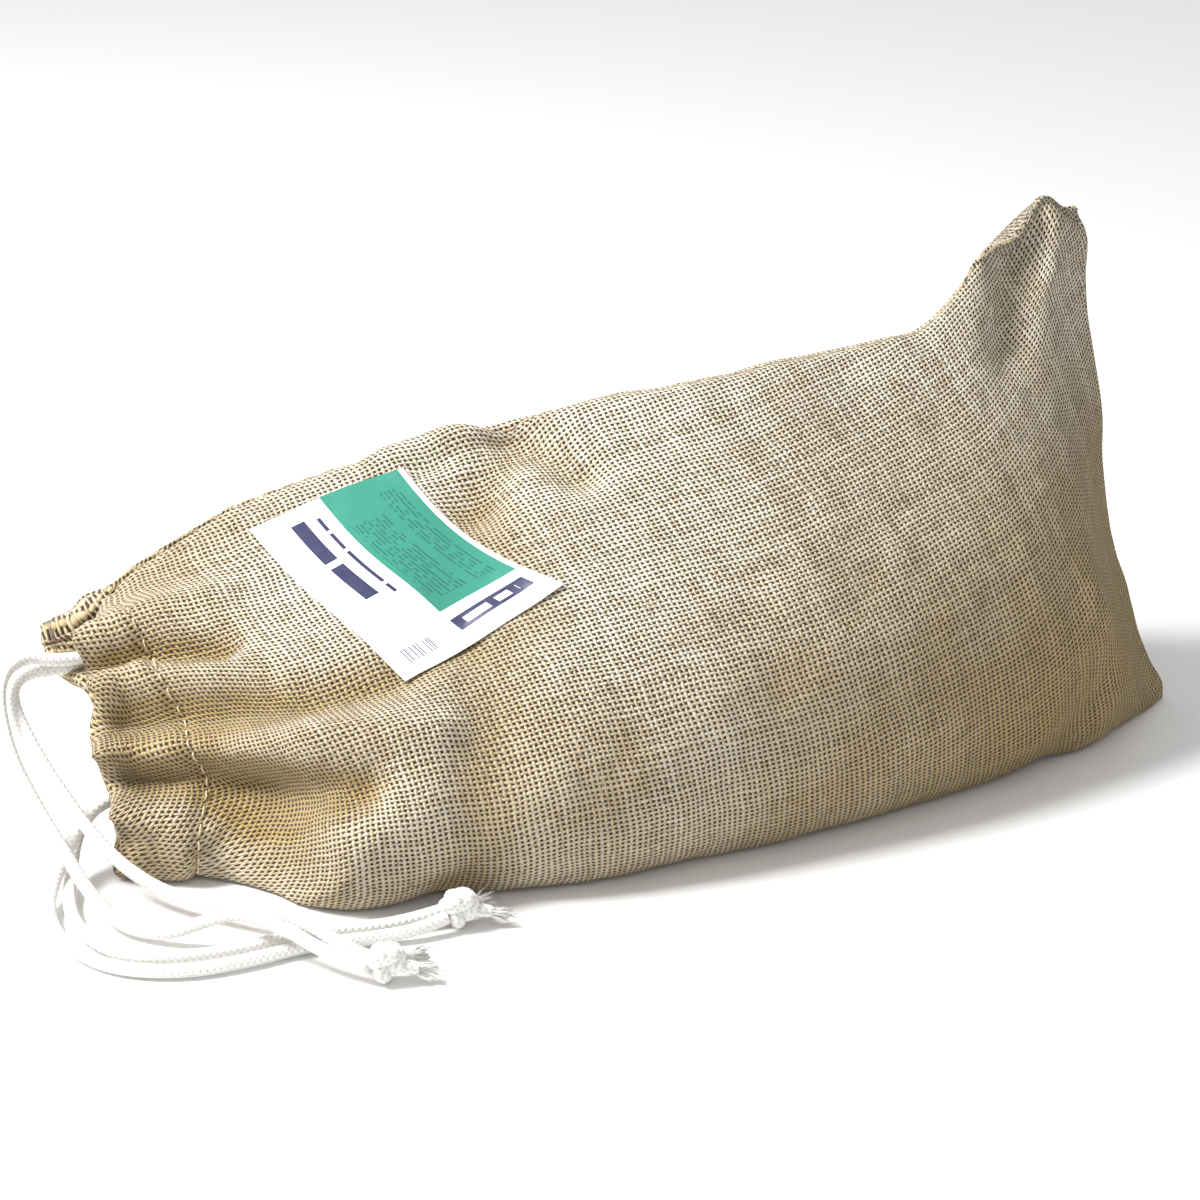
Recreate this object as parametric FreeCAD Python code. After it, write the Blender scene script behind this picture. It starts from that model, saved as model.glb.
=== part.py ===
"""Hessian drawstring bag of wood chips, lying on its side.

Frame, in millimetres: X runs along the bag from the mouth (-X) to the bottom seam (+X), the front
panel faces -Y, Z is up and the floor is z = 0. The dimensions below are laid out from a point
under the belly. MOVE then carries everything so that the origin is the bottom centre of the bag's
own box, its free drawcord ends left out.
"""
import FreeCAD, Part

import math
import os

Vector = FreeCAD.Vector

# ---- driving dimensions ----
CLOTH = 2.0            # wall of the hessian, with its fuzz
CORD = 5.0             # diameter of the cotton drawcord
PLY_GAP = 0.3          # air between neighbours that don't touch
REST_CUT = 0.6         # how deep the modelled underside is trimmed to lie flat
MOVE = Vector(-5.0, 40.5, 0.0)

PANEL_START = -180.0   # X where the panels meet the casings
PANEL_END = 222.0      # X of the bottom seam
FILL_START = -86.0     # X where the settled chips begin
FILL_END = 208.0

CASING_X = -198.0      # middle of the casing band
CASING_WIDTH = 28.0
CASING_THICK = 9.0
TUNNEL_WIDTH = 18.4
TUNNEL_THICK = 6.2
CORD_PITCH = 8.6       # between the two drawcords inside the tunnel
CASING_TRIM = 23.0     # open slit left at each side of the mouth
CASING_BARE = 4.4      # cord that shows beyond each end of a casing, clear of the other cord

MOUTH_LOW = (-22.0, 6.0)    # y, z of the mouth's lower corner
MOUTH_HIGH = (46.0, 80.0)   # y, z of its upper corner
FRONT_SAG = 20.0       # how far the front lip bows out from the corner-to-corner line
BACK_SAG = 12.0

TRAVEL = 40.0          # how far the drawcords pull out
RESERVE = TRAVEL + 6.0 # straight cord kept inside the neck for that travel
RESERVE_BOW = 0.4      # how far its middle wanders off the straight line
EXIT_X = -212.0        # where the drawcords leave the bag
END_SPACING = 5.6      # between the two ends of one drawcord where they leave
END_LEAN = 2.2         # how far both sit towards the front of the mouth's corner

STITCH = 1.0           # thread diameter
STITCH_STEP = 8.0

LABEL_LENGTH = 90.0    # across the bag
LABEL_WIDTH = 64.0     # along the bag
LABEL_THICK = 0.6
LABEL_LIFT = 0.6       # off the panel's outer face
LABEL_CORNER = (-140.0, 2.0)    # x, and the way down from the upper seam, of its first corner
LABEL_TURN = 20.0      # degrees that it is stuck askew
LABEL_SKEW = 0.04      # how fast its upper edge runs down from the seam

# One row for each place along the bag: x, then (y, z) of the upper seam, of the front belly and of
# the back belly, then y of the front foot, the lower seam and the back foot on the floor, then how
# far the front and the back face bow outwards.
STATIONS = (
    (-180, (44, 88), (-44, 24), (3, 20), -34, -21, -12, 17, 24),
    (-148, (37, 102), (-96, 22), (8, 26), -84, -50, -26, 10, 20),
    (-95, (26, 121), (-112, 28), (28, 38), -96, -58, -10, 14, 12),
    (-30, (-4, 144), (-123, 33), (36, 46), -106, -60, 2, 14, 16),
    (45, (-26, 154), (-126, 36), (36, 50), -108, -62, 6, 14, 18),
    (120, (-26, 160), (-118, 36), (30, 50), -102, -64, 0, 12, 16),
    (175, (-8, 172), (-106, 30), (2, 44), -94, -68, -28, 3, 6),
    (205, (3, 184), (-86, 20), (-42, 24), -80, -70, -58, 2, 2),
    (222, (7, 188), (-71.5, 9), (-64.5, 9), -73, -71, -69, 2, 2),
)
LOFT_STEP = 16.0       # distance between the sections that are worked out from these rows

# Routes of the free drawcord ends, from where they leave the bag to their knots.
CORD_A_KNOT = (-158, -139, 8)
CORD_B_KNOT = (-118, -115, 8)
ROUTE_A1 = (
    (-225.5, 30.5, 64), (-234, 22, 60.5), (-233, 3, 48), (-228, -16, 34), (-220, -35, 18), (-208, -52, 8),
    (-195, -71, 7), (-184, -88, 13), (-174, -109, 13.5), (-166, -123, 8), (-160, -134, 7),
)
ROUTE_A2 = (
    (-226, 29, 72), (-240, 18, 68), (-243, 0, 50), (-239, -14, 34), (-234, -28, 20),
    (-231, -45, 9), (-227, -64, 3.5), (-215, -79, 4), (-203, -86, 10), (-192, -93, 14.4),
    (-183, -110, 13.8), (-173, -126, 8), (-164, -138, 7),
)
ROUTE_B1 = (
    (-224, -15.5, 20), (-235, -23.5, 9), (-244, -37, 3.2), (-248, -54, 2.7), (-247, -73, 2.7),
    (-239, -91, 2.7), (-220, -104, 2.7), (-197, -107.5, 2.7), (-173, -106.5, 2.7), (-149, -113, 2.7),
    (-134, -117, 4), (-123.5, -116.5, 6),
)
ROUTE_B2 = (
    (-222, -9, 15), (-228.5, -19.5, 5.5), (-235, -34, 2.8), (-239.5, -51, 2.7), (-239, -69, 2.7),
    (-232, -85, 2.7), (-215, -95, 2.7), (-193, -98.5, 2.7), (-170, -97.5, 2.7), (-148, -105, 2.7),
    (-133, -109, 4), (-121.5, -110.8, 6),
)


def at(x, point):
    return Vector(x, point[0], point[1])


def half_outline(station, side, depth=0.0, apex=0.0, sink=0.0):
    """Edges from the upper seam over the belly to the lower seam; side is -1 at the front.

    The line lies depth inside the cloth's outer face, its top is apex inside the seam, and all of
    it is lowered by sink.
    """
    x, top, front, back, foot_front, seam, foot_back, bow_front, bow_back = station
    belly, foot, bow = (front, foot_front, bow_front) if side < 0 else (back, foot_back, bow_back)
    inwards = ((front[0] + back[0]) / 2 - top[0], (front[1] + back[1]) / 2 - top[1])
    ty, tz = (top[k] + apex * inwards[k] / math.hypot(*inwards) for k in (0, 1))
    by, bz = belly[0] - side * depth, belly[1] + 0.3 * depth
    foot += -side * min(depth, 0.5 * abs(seam - foot))
    length = math.hypot(by - ty, bz - tz)
    shoulder = (ty + (by - ty) / 3 + bow * side * (tz - bz) / length,
                tz + (bz - tz) / 3 + bow * side * (by - ty) / length)
    face = [(ty, tz), shoulder, (by, bz + length / 3), (by, bz)]
    heel = (foot + 0.45 * (by - foot), depth)
    under = [(by, bz), (by, depth + 0.45 * (bz - depth)), heel, (foot, depth)]
    sole = [(foot, depth), (seam, depth)]
    edges = []
    for points in (face, under, sole):
        curve = Part.BezierCurve()
        curve.setPoles([at(x, (y, z - sink)) for y, z in points])
        edges.append(curve.toShape())
    return edges


def ends(edges):
    """The first and the last point of a run of edges."""
    return edges[0].valueAt(edges[0].FirstParameter), edges[-1].valueAt(edges[-1].LastParameter)


def slope(before, middle, after, index):
    """A slope at the middle row that never overshoots its neighbours."""
    left = (middle[index] - before[index]) / (middle[0] - before[0])
    right = (after[index] - middle[index]) / (after[0] - middle[0])
    return 2 * left * right / (left + right) if left * right > 0 else 0.0


def flat(row):
    return [row[0], *row[1], *row[2], *row[3], *row[4:]]


def between(x):
    """The station at any x, on smooth curves through the rows."""
    rows = [flat(row) for row in STATIONS]
    i = max(k for k in range(len(rows) - 1) if rows[k][0] <= x or k == 0)
    low, high = rows[i], rows[i + 1]
    before, after = rows[max(i - 1, 0)], rows[min(i + 2, len(rows) - 1)]
    span = high[0] - low[0]
    t = (x - low[0]) / span
    mixed = []
    for k in range(1, len(low)):
        start = slope(before, low, high, k) if i > 0 else (high[k] - low[k]) / span
        end = slope(low, high, after, k) if i + 2 < len(rows) else (high[k] - low[k]) / span
        mixed.append((2 * t ** 3 - 3 * t * t + 1) * low[k] + (3 * t * t - 2 * t ** 3) * high[k]
                     + span * ((t ** 3 - 2 * t * t + t) * start + (t ** 3 - t * t) * end))
    return (x, tuple(mixed[0:2]), tuple(mixed[2:4]), tuple(mixed[4:6]), *mixed[6:])


def places(start, end):
    """X of evenly spaced sections from start to end."""
    count = round((end - start) / LOFT_STEP)
    return [start + (end - start) * i / count for i in range(count + 1)]


def above_floor(shape):
    slab = Part.makeBox(1000, 1000, 50, Vector(-500, -500, -50))
    return shape.cut(slab)


def panel(side):
    """One hessian panel: a curved wall from the upper seam to the lower seam."""
    wires = []
    for x in places(PANEL_START, PANEL_END):
        station = between(x)
        outer = half_outline(station, side, sink=REST_CUT)
        inner = half_outline(station, side, CLOTH, 3 * CLOTH)
        (top, bottom), (inner_top, inner_bottom) = ends(outer), ends(inner)
        low_edge = Part.LineSegment(bottom, inner_bottom).toShape()
        high_edge = Part.LineSegment(inner_top, top).toShape()
        wires.append(Part.Wire(outer + [low_edge] + inner[::-1] + [high_edge]))
    wall = Part.makeLoft(wires, True, True)
    if side > 0:
        wall.translate(Vector(0, PLY_GAP, 0))
    return above_floor(wall)


def chip_fill():
    """The settled chips as one body, clear of the cloth."""
    depth = CLOTH + 1.6
    wires = []
    for x in places(FILL_START, FILL_END):
        station = between(x)
        front = half_outline(station, -1, depth, 7 * CLOTH)
        back = half_outline(station, 1, depth, 7 * CLOTH)
        wires.append(Part.Wire(front + back[::-1]))
    return Part.makeLoft(wires, True, True)


def chip(length, width, thick, turn, x, y, z):
    """One split chip: a slab with slanted ends."""
    lean = 0.25 * length
    outline = [Vector(-length / 2, -width / 2, 0), Vector(length / 2 - lean, -width / 2, 0),
               Vector(length / 2, width / 2, 0), Vector(-length / 2 + lean, width / 2, 0)]
    solid = Part.Face(Part.makePolygon(outline + outline[:1])).extrude(Vector(0, 0, thick))
    solid.rotate(Vector(0, 0, 0), Vector(0, 0, 1), turn)
    solid.translate(Vector(x, y, z))
    return solid


def loose_chips():
    """Chips that have slid into the neck and lie on its floor."""
    chips = []
    for i in range(7):
        x = -104 - 9.5 * i
        seam = between(x)[5]
        chips.append(chip(15 - i, 6.0, 2.4, 37 * i, x, seam - 12, CLOTH + 0.4))
        chips.append(chip(12 - 0.6 * i, 5.0, 2.0, 80 + 51 * i, x - 2, seam + 11, CLOTH + 0.4))
    return Part.makeCompound(chips)


# ---- the mouth: two casings, each bowed on its own circle through the mouth's corners ----

def lip_circle(sag, side):
    """Centre, radius and the angles of the two mouth corners for a lip; side is -1 at the front."""
    (y0, z0), (y1, z1) = MOUTH_LOW, MOUTH_HIGH
    chord = math.hypot(y1 - y0, z1 - z0)
    radius = chord * chord / (8 * sag) + sag / 2
    out = (side * (z1 - z0) / chord, -side * (y1 - y0) / chord)
    centre = ((y0 + y1) / 2 - out[0] * (radius - sag), (z0 + z1) / 2 - out[1] * (radius - sag))
    low = math.degrees(math.atan2(z0 - centre[1], y0 - centre[0]))
    high = math.degrees(math.atan2(z1 - centre[1], y1 - centre[0]))
    trim = math.degrees(CASING_TRIM / radius)
    if side < 0:
        return centre, radius, high + trim, low % 360 - trim
    return centre, radius, low + trim, high - trim


def on_circle(x, centre, radius, angle):
    a = math.radians(angle)
    return Vector(x, centre[0] + radius * math.cos(a), centre[1] + radius * math.sin(a))


def swing(profile, centre, start, end):
    """Turn a profile that stands at angle 0 on the circle from start to end, in degrees."""
    axis_point = Vector(0, centre[0], centre[1])
    profile.rotate(axis_point, Vector(1, 0, 0), start)
    return profile.revolve(axis_point, Vector(1, 0, 0), end - start)


def slot_face(width, thick, centre, radius):
    """A round-ended slot, width along X and thick along the radius, at angle 0 on the circle."""
    r = thick / 2
    half = width / 2 - r
    y, z = centre[0] + radius, centre[1]
    left, right = CASING_X - half, CASING_X + half
    edges = [
        Part.LineSegment(Vector(left, y - r, z), Vector(right, y - r, z)).toShape(),
        Part.Arc(Vector(right, y - r, z), Vector(right + r, y, z), Vector(right, y + r, z)).toShape(),
        Part.LineSegment(Vector(right, y + r, z), Vector(left, y + r, z)).toShape(),
        Part.Arc(Vector(left, y + r, z), Vector(left - r, y, z), Vector(left, y - r, z)).toShape(),
    ]
    return Part.Face(Part.Wire(edges))


def casing(sag, side):
    """A folded band of hessian with the tunnel that holds the drawcords."""
    centre, radius, start, end = lip_circle(sag, side)
    face = slot_face(CASING_WIDTH, CASING_THICK, centre, radius)
    face = face.cut(slot_face(TUNNEL_WIDTH, TUNNEL_THICK, centre, radius))
    bare = math.degrees(CASING_BARE / radius)
    return swing(face.Faces[0], centre, start + bare, end - bare)


def cord_run(x, sag, side):
    """The stretch of a drawcord inside one casing."""
    centre, radius, start, end = lip_circle(sag, side)
    ring = Part.Circle(Vector(x, centre[0] + radius, centre[1]), Vector(0, 0, 1), CORD / 2)
    return swing(Part.Face(Part.Wire(ring.toShape())), centre, start, end)


def turn_arc(high):
    """Centre, radius and end points, in (y, z), of the bend that joins the two runs at a corner."""
    front_centre, front_radius, front_high, front_low = lip_circle(FRONT_SAG, -1)
    back_centre, back_radius, back_low, back_high = lip_circle(BACK_SAG, 1)
    front = on_circle(0, front_centre, front_radius, front_high if high else front_low)
    back = on_circle(0, back_centre, back_radius, back_high if high else back_low)
    inward = Vector(0, front_centre[0], front_centre[1]) - front
    inward.normalize()
    span = back - front
    radius = span.Length ** 2 / (2 * span.dot(inward))
    return front + inward * radius, radius, front, back


def cord_turn(x, high):
    """The bend of a drawcord at the corner where it doesn't leave the bag."""
    centre, radius, front, back = turn_arc(high)
    axis = Vector(-1 if high else 1, 0, 0)
    sweep = math.degrees((front - centre).getAngle(back - centre))
    if (front - centre).cross(back - centre).dot(axis) < 0:
        sweep = 360 - sweep
    tangent = axis.cross(front - centre)
    ring = Part.Circle(front, tangent, CORD / 2)
    face = Part.Face(Part.Wire(ring.toShape()))
    gap = math.degrees(PLY_GAP / radius)
    face.rotate(centre, axis, gap)
    bend = face.revolve(centre, axis, sweep - 2 * gap)
    bend.translate(Vector(x, 0, 0))
    return bend


def exit_points(high):
    """Where the two ends of a drawcord leave the bag, side by side inside the other cord's bend."""
    centre, _, front, back = turn_arc(high)
    across = back - front
    across.normalize()
    middle = centre + Vector(EXIT_X, 0, 0) - across * END_LEAN
    return middle - across * (END_SPACING / 2), middle + across * (END_SPACING / 2)


def tube(points, diameter, name):
    """A cord of straight runs joined by tangent arcs, as large as the runs allow."""
    edges = []
    here = points[0]
    radii = []
    for before, corner, after in zip(points, points[1:], points[2:]):
        arrive = (corner - before).normalize()
        leave = (after - corner).normalize()
        half_turn = arrive.getAngle(leave) / 2
        reach = 0.45 * min((corner - before).Length, (after - corner).Length)
        radii.append(reach / math.tan(half_turn))
        start, end = corner - arrive * reach, corner + leave * reach
        bisector = (leave - arrive).normalize()
        middle = corner + bisector * (radii[-1] * (1 / math.cos(half_turn) - 1))
        edges.append(Part.LineSegment(here, start).toShape())
        edges.append(Part.Arc(start, middle, end).toShape())
        here = end
    edges.append(Part.LineSegment(here, points[-1]).toShape())
    spine = Part.Wire(edges)
    ring = Part.Wire(Part.Circle(points[0], points[1] - points[0], diameter / 2).toShape())
    solid = spine.makePipeShell([ring], True, False)
    expected = math.pi * diameter ** 2 / 4 * spine.Length
    print("%s: length %.0f, volume ratio %.4f, radii %s" % (
        name, spine.Length, solid.Volume / expected, " ".join("%.0f" % r for r in radii)))
    return solid


def cord_end(start, route, name):
    """A free end: its reserve inside the neck, then its route over the floor to the knot."""
    inner = start + Vector(RESERVE, 0, 0)
    middle = start + Vector(RESERVE / 2, RESERVE_BOW, 0)
    return tube([inner, middle, start] + [Vector(*p) for p in route], CORD, name)


def knot(place):
    """An overhand knot of both ends, with the two short tails beyond it."""
    centre = Vector(*place)
    ball = Part.makeSphere(1.5 * CORD, centre)
    ball.rotate(centre, Vector(0, 0, 1), 180)    # its seam edge away from the tails
    tails = []
    for spread in (-40, 16):
        way = Vector(math.cos(math.radians(spread)), math.sin(math.radians(spread)), -0.12)
        tails.append(Part.makeCone(CORD / 2, 0.7 * CORD, 3.4 * CORD, centre, way))
    return ball.fuse(tails)


# ---- sewing and label ----

def stitch_row(points):
    """Short straight stitches along a line of points."""
    stitches = []
    line = Part.makePolygon(points)
    count = int(line.Length / STITCH_STEP)
    places = line.discretize(Number=count * 8 + 1)
    for i in range(count):
        start, end = places[8 * i + 1], places[8 * i + 6]
        stitches.append(Part.makeCylinder(STITCH / 2, (end - start).Length, start, end - start))
    return Part.makeCompound(stitches)


def upper_side_stitching():
    points = []
    for x in places(PANEL_START + 4, FILL_END):
        top, front, back = between(x)[1:4]
        inwards = Vector(0, (front[0] + back[0]) / 2 - top[0], (front[1] + back[1]) / 2 - top[1])
        points.append(at(x, top) + inwards.normalize() * (3 * CLOTH + REST_CUT + 2.5))
    return stitch_row(points)


def lower_side_stitching():
    rows = [between(x) for x in places(PANEL_START + 4, FILL_END)]
    return stitch_row([at(row[0], (row[5] + PLY_GAP, CLOTH + STITCH)) for row in rows])


def bottom_stitching():
    """The row that closes the bottom, between the two plies just inside the end."""
    station = between(PANEL_END - 6)
    top, seam = station[1], station[5]
    low = at(station[0], (seam + 2, 8))
    high = at(station[0], (top[0] - 3, top[1] - 14))
    return stitch_row([low, high])


def hem_stitching(sag, side):
    """The row that holds the casing's fold down, on its outer face."""
    centre, radius, start, end = lip_circle(sag, side)
    bare = math.degrees(CASING_BARE / radius)
    start, end = start + bare, end - bare
    x = CASING_X + CASING_WIDTH / 2 - CASING_THICK / 2
    outer = radius + CASING_THICK / 2 + STITCH / 2
    stitches = []
    step = math.degrees(STITCH_STEP / outer)
    count = int((end - start) / step)
    for i in range(count):
        a, b = start + step * (i + 0.2), start + step * (i + 0.8)
        p, q = on_circle(x, centre, outer, a), on_circle(x, centre, outer, b)
        stitches.append(Part.makeCylinder(STITCH / 2, (q - p).Length, p, q - p))
    return Part.makeCompound(stitches)


def face_point(x, down, lift):
    """The point on the front face at x, a given way down from the upper seam, lifted off it."""
    face = half_outline(between(x), -1, sink=REST_CUT)[0]
    place = face.getParameterByLength(down)
    out = Vector(1, 0, 0).cross(face.tangentAt(place)).normalize()
    return face.valueAt(place) + (out if out.z > 0 else -out) * lift


def paper_label():
    """The paper label: a thin sheet over the front face of the neck."""
    turn = math.radians(LABEL_TURN)
    sheets = []
    for lift in (LABEL_LIFT, LABEL_LIFT + LABEL_THICK):
        grid = []
        for i in range(6):
            along = LABEL_WIDTH * i / 5
            row = []
            for j in range(8):
                across = LABEL_LENGTH * j / 7
                x = LABEL_CORNER[0] + along * math.cos(turn) + across * math.sin(turn)
                down = LABEL_CORNER[1] + across * math.cos(turn) + LABEL_SKEW * along
                row.append(face_point(x, down, lift))
            grid.append(row)
        surface = Part.BSplineSurface()
        surface.interpolate(grid)
        sheets.append(surface.toShape())
    low, high = sheets
    sides = [Part.makeRuledSurface(a, b) for a, b in zip(low.Edges, high.Edges)]
    shell = Part.makeShell([low.Faces[0], high.Faces[0]] + sides)
    shell.sewShape()
    solid = Part.makeSolid(shell)
    if solid.Volume < 0:
        solid.reverse()
    return solid


def build():
    x_a = CASING_X - CORD_PITCH / 2
    x_b = CASING_X + CORD_PITCH / 2
    a1, a2 = exit_points(True)
    b1, b2 = exit_points(False)
    return {
        "front_panel": panel(-1),
        "back_panel": panel(1),
        "chip_fill": chip_fill(),
        "loose_chips": loose_chips(),
        "upper_side_stitching": upper_side_stitching(),
        "lower_side_stitching": lower_side_stitching(),
        "bottom_stitching": bottom_stitching(),
        "paper_label": paper_label(),
        "front_casing": casing(FRONT_SAG, -1),
        "back_casing": casing(BACK_SAG, 1),
        "front_hem_stitching": hem_stitching(FRONT_SAG, -1),
        "back_hem_stitching": hem_stitching(BACK_SAG, 1),
        "cord_a_front_run": cord_run(x_a, FRONT_SAG, -1),
        "cord_a_back_run": cord_run(x_a, BACK_SAG, 1),
        "cord_a_turn": cord_turn(x_a, False),
        "cord_b_front_run": cord_run(x_b, FRONT_SAG, -1),
        "cord_b_back_run": cord_run(x_b, BACK_SAG, 1),
        "cord_b_turn": cord_turn(x_b, True),
        "cord_a_end_1": cord_end(a2, ROUTE_A1, "cord_a_end_1"),
        "cord_a_end_2": cord_end(a1, ROUTE_A2, "cord_a_end_2"),
        "cord_a_knot": knot(CORD_A_KNOT),
        "cord_b_end_1": cord_end(b1, ROUTE_B1, "cord_b_end_1"),
        "cord_b_end_2": cord_end(b2, ROUTE_B2, "cord_b_end_2"),
        "cord_b_knot": knot(CORD_B_KNOT),
    }


os.makedirs("parts", exist_ok=True)
for name, shape in build().items():
    shape.translate(MOVE)
    box = shape.optimalBoundingBox(False, False)
    print("%-22s solids %d valid %s volume %.0f  x %.1f..%.1f  y %.1f..%.1f  z %.1f..%.1f" % (
        name, len(shape.Solids), shape.isValid(), shape.Volume,
        box.XMin, box.XMax, box.YMin, box.YMax, box.ZMin, box.ZMax))
    shape.exportStep("parts/%s.step" % name)
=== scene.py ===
"""Looks for the hessian drawstring bag: cloth, label, drawcords, stitching and wood chips."""
import math
import random

import bmesh
import bpy
import numpy as np
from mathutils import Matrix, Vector, noise


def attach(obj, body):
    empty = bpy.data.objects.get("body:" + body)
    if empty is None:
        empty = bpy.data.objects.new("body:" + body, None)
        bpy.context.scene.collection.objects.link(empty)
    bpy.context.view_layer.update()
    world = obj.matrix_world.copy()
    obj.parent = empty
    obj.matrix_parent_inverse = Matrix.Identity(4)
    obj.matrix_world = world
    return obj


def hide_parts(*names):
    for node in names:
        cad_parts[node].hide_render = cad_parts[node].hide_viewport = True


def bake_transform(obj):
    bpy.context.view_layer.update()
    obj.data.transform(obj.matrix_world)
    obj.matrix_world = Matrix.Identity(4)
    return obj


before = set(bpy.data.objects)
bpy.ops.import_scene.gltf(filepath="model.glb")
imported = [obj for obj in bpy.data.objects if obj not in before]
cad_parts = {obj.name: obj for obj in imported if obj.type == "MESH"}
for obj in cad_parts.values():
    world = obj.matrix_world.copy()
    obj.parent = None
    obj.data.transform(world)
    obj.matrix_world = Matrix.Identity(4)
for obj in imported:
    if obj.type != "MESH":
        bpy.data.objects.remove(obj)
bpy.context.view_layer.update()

MM = 0.001
MOVE = np.array((-5.0, 40.5, 0.0))     # from part.py: layout point to the row's origin

# ---- camera ----

def aim(obj, place, target):
    obj.location = place
    obj.rotation_euler = (Vector(target) - Vector(place)).to_track_quat("-Z", "Y").to_euler()


AZIMUTH = math.radians(28)
ELEVATION = math.radians(23)
TARGET = Vector((-0.005, 0.0405, 0.060))
DISTANCE = 1.4
look = Vector((math.sin(AZIMUTH) * math.cos(ELEVATION), math.cos(AZIMUTH) * math.cos(ELEVATION),
               -math.sin(ELEVATION)))
camera = bpy.data.objects.new("camera", bpy.data.cameras.new("camera"))
bpy.context.collection.objects.link(camera)
camera.data.sensor_width = 36
camera.data.lens = 18 / math.tan(math.radians(18.98 / 2))
camera.data.clip_start = 0.05
aim(camera, TARGET - look * DISTANCE, TARGET)
bpy.context.scene.camera = camera


# ---- helpers ----

def lay_out(points):
    """Points in part.py's layout millimetres, as row-frame metres."""
    return (np.asarray(points, float) + MOVE) * MM


def new_mesh(name, verts, faces, material=None, smooth=True, body=None):
    mesh = bpy.data.meshes.new(name)
    mesh.from_pydata([tuple(v) for v in verts], [], [tuple(f) for f in faces])
    mesh.update()
    obj = bpy.data.objects.new(name, mesh)
    bpy.context.collection.objects.link(obj)
    if smooth:
        mesh.polygons.foreach_set("use_smooth", [True] * len(mesh.polygons))
    if material:
        mesh.materials.append(material)
    if body:
        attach(obj, body)
    return obj


def set_uv(obj, per_vertex, name="thread"):
    """A UV layer from one pair of numbers for each vertex."""
    mesh = obj.data
    layer = mesh.uv_layers.new(name=name)
    index = np.empty(len(mesh.loops), dtype=np.int32)
    mesh.loops.foreach_get("vertex_index", index)
    layer.data.foreach_set("uv", np.asarray(per_vertex, float)[index].ravel())


def grid_faces(rows, cols, closed=False):
    faces = []
    for i in range(rows - 1):
        for j in range(cols if closed else cols - 1):
            k = (j + 1) % cols
            faces.append((i * cols + j, i * cols + k, (i + 1) * cols + k, (i + 1) * cols + j))
    return faces


def smooth_step(x, low, high):
    t = np.clip((x - low) / (high - low), 0, 1)
    return t * t * (3 - 2 * t)


def fade(x, width):
    """1 at zero, falling to nothing over about twice the width."""
    return np.exp(-(x / width) ** 2)


# ---- node materials ----

class Nodes:
    """Short words for building a node tree."""

    def __init__(self, name):
        self.material = bpy.data.materials.new(name)
        self.material.use_nodes = True
        self.tree = self.material.node_tree
        self.shader = self.tree.nodes["Principled BSDF"]

    def add(self, kind, **settings):
        node = self.tree.nodes.new(kind)
        for key, value in settings.items():
            setattr(node, key, value)
        return node

    def link(self, value, socket):
        if isinstance(value, bpy.types.NodeSocket):
            self.tree.links.new(value, socket)
        else:
            socket.default_value = value

    def math(self, operation, a, b=0.0, c=0.0):
        node = self.add("ShaderNodeMath", operation=operation)
        for value, socket in zip((a, b, c), node.inputs):
            self.link(value, socket)
        return node.outputs[0]

    def plus(self, a, b):
        return self.math("ADD", a, b)

    def minus(self, a, b):
        return self.math("SUBTRACT", a, b)

    def times(self, a, b):
        return self.math("MULTIPLY", a, b)

    def mix(self, factor, a, b):
        node = self.add("ShaderNodeMix", data_type="RGBA")
        self.link(factor, node.inputs["Factor"])
        self.link(a, node.inputs[6])
        self.link(b, node.inputs[7])
        return node.outputs[2]

    def noise(self, vector, scale, detail=2.0, rough=0.5, output="Fac"):
        node = self.add("ShaderNodeTexNoise")
        if vector is not None:
            self.link(vector, node.inputs["Vector"])
        node.inputs["Scale"].default_value = scale
        node.inputs["Detail"].default_value = detail
        node.inputs["Roughness"].default_value = rough
        return node.outputs[output]

    def combine(self, x, y, z=0.0):
        node = self.add("ShaderNodeCombineXYZ")
        for value, socket in zip((x, y, z), node.inputs):
            self.link(value, socket)
        return node.outputs[0]

    def separate(self, vector):
        node = self.add("ShaderNodeSeparateXYZ")
        self.link(vector, node.inputs[0])
        return node.outputs[0], node.outputs[1], node.outputs[2]

    def uv(self, name="thread"):
        return self.add("ShaderNodeUVMap", uv_map=name).outputs[0]

    def place(self):
        return self.add("ShaderNodeTexCoord").outputs["Object"]

    def ramp(self, value, *stops):
        node = self.add("ShaderNodeValToRGB")
        ramp = node.color_ramp
        while len(ramp.elements) < len(stops):
            ramp.elements.new(1.0)
        for element, (position, colour) in zip(ramp.elements, stops):
            element.position = position
            element.color = (*colour, 1.0)
        self.link(value, node.inputs[0])
        return node.outputs[0]

    def spread(self, value, low, high, out_low=0.0, out_high=1.0):
        node = self.add("ShaderNodeMapRange")
        for name, number in (("From Min", low), ("From Max", high), ("To Min", out_low), ("To Max", out_high)):
            node.inputs[name].default_value = number
        self.link(value, node.inputs["Value"])
        return node.outputs[0]

    def bump(self, height, distance, strength=1.0, normal=None):
        node = self.add("ShaderNodeBump")
        node.inputs["Distance"].default_value = distance
        node.inputs["Strength"].default_value = strength
        self.link(height, node.inputs["Height"])
        if normal is not None:
            self.link(normal, node.inputs["Normal"])
        return node.outputs[0]

    def finish(self, colour, rough, normal=None, **sockets):
        self.link(colour, self.shader.inputs["Base Color"])
        self.link(rough, self.shader.inputs["Roughness"])
        if normal is not None:
            self.link(normal, self.shader.inputs["Normal"])
        for name, value in sockets.items():
            self.shader.inputs[name.replace("_", " ")].default_value = value
        return self.material


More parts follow.
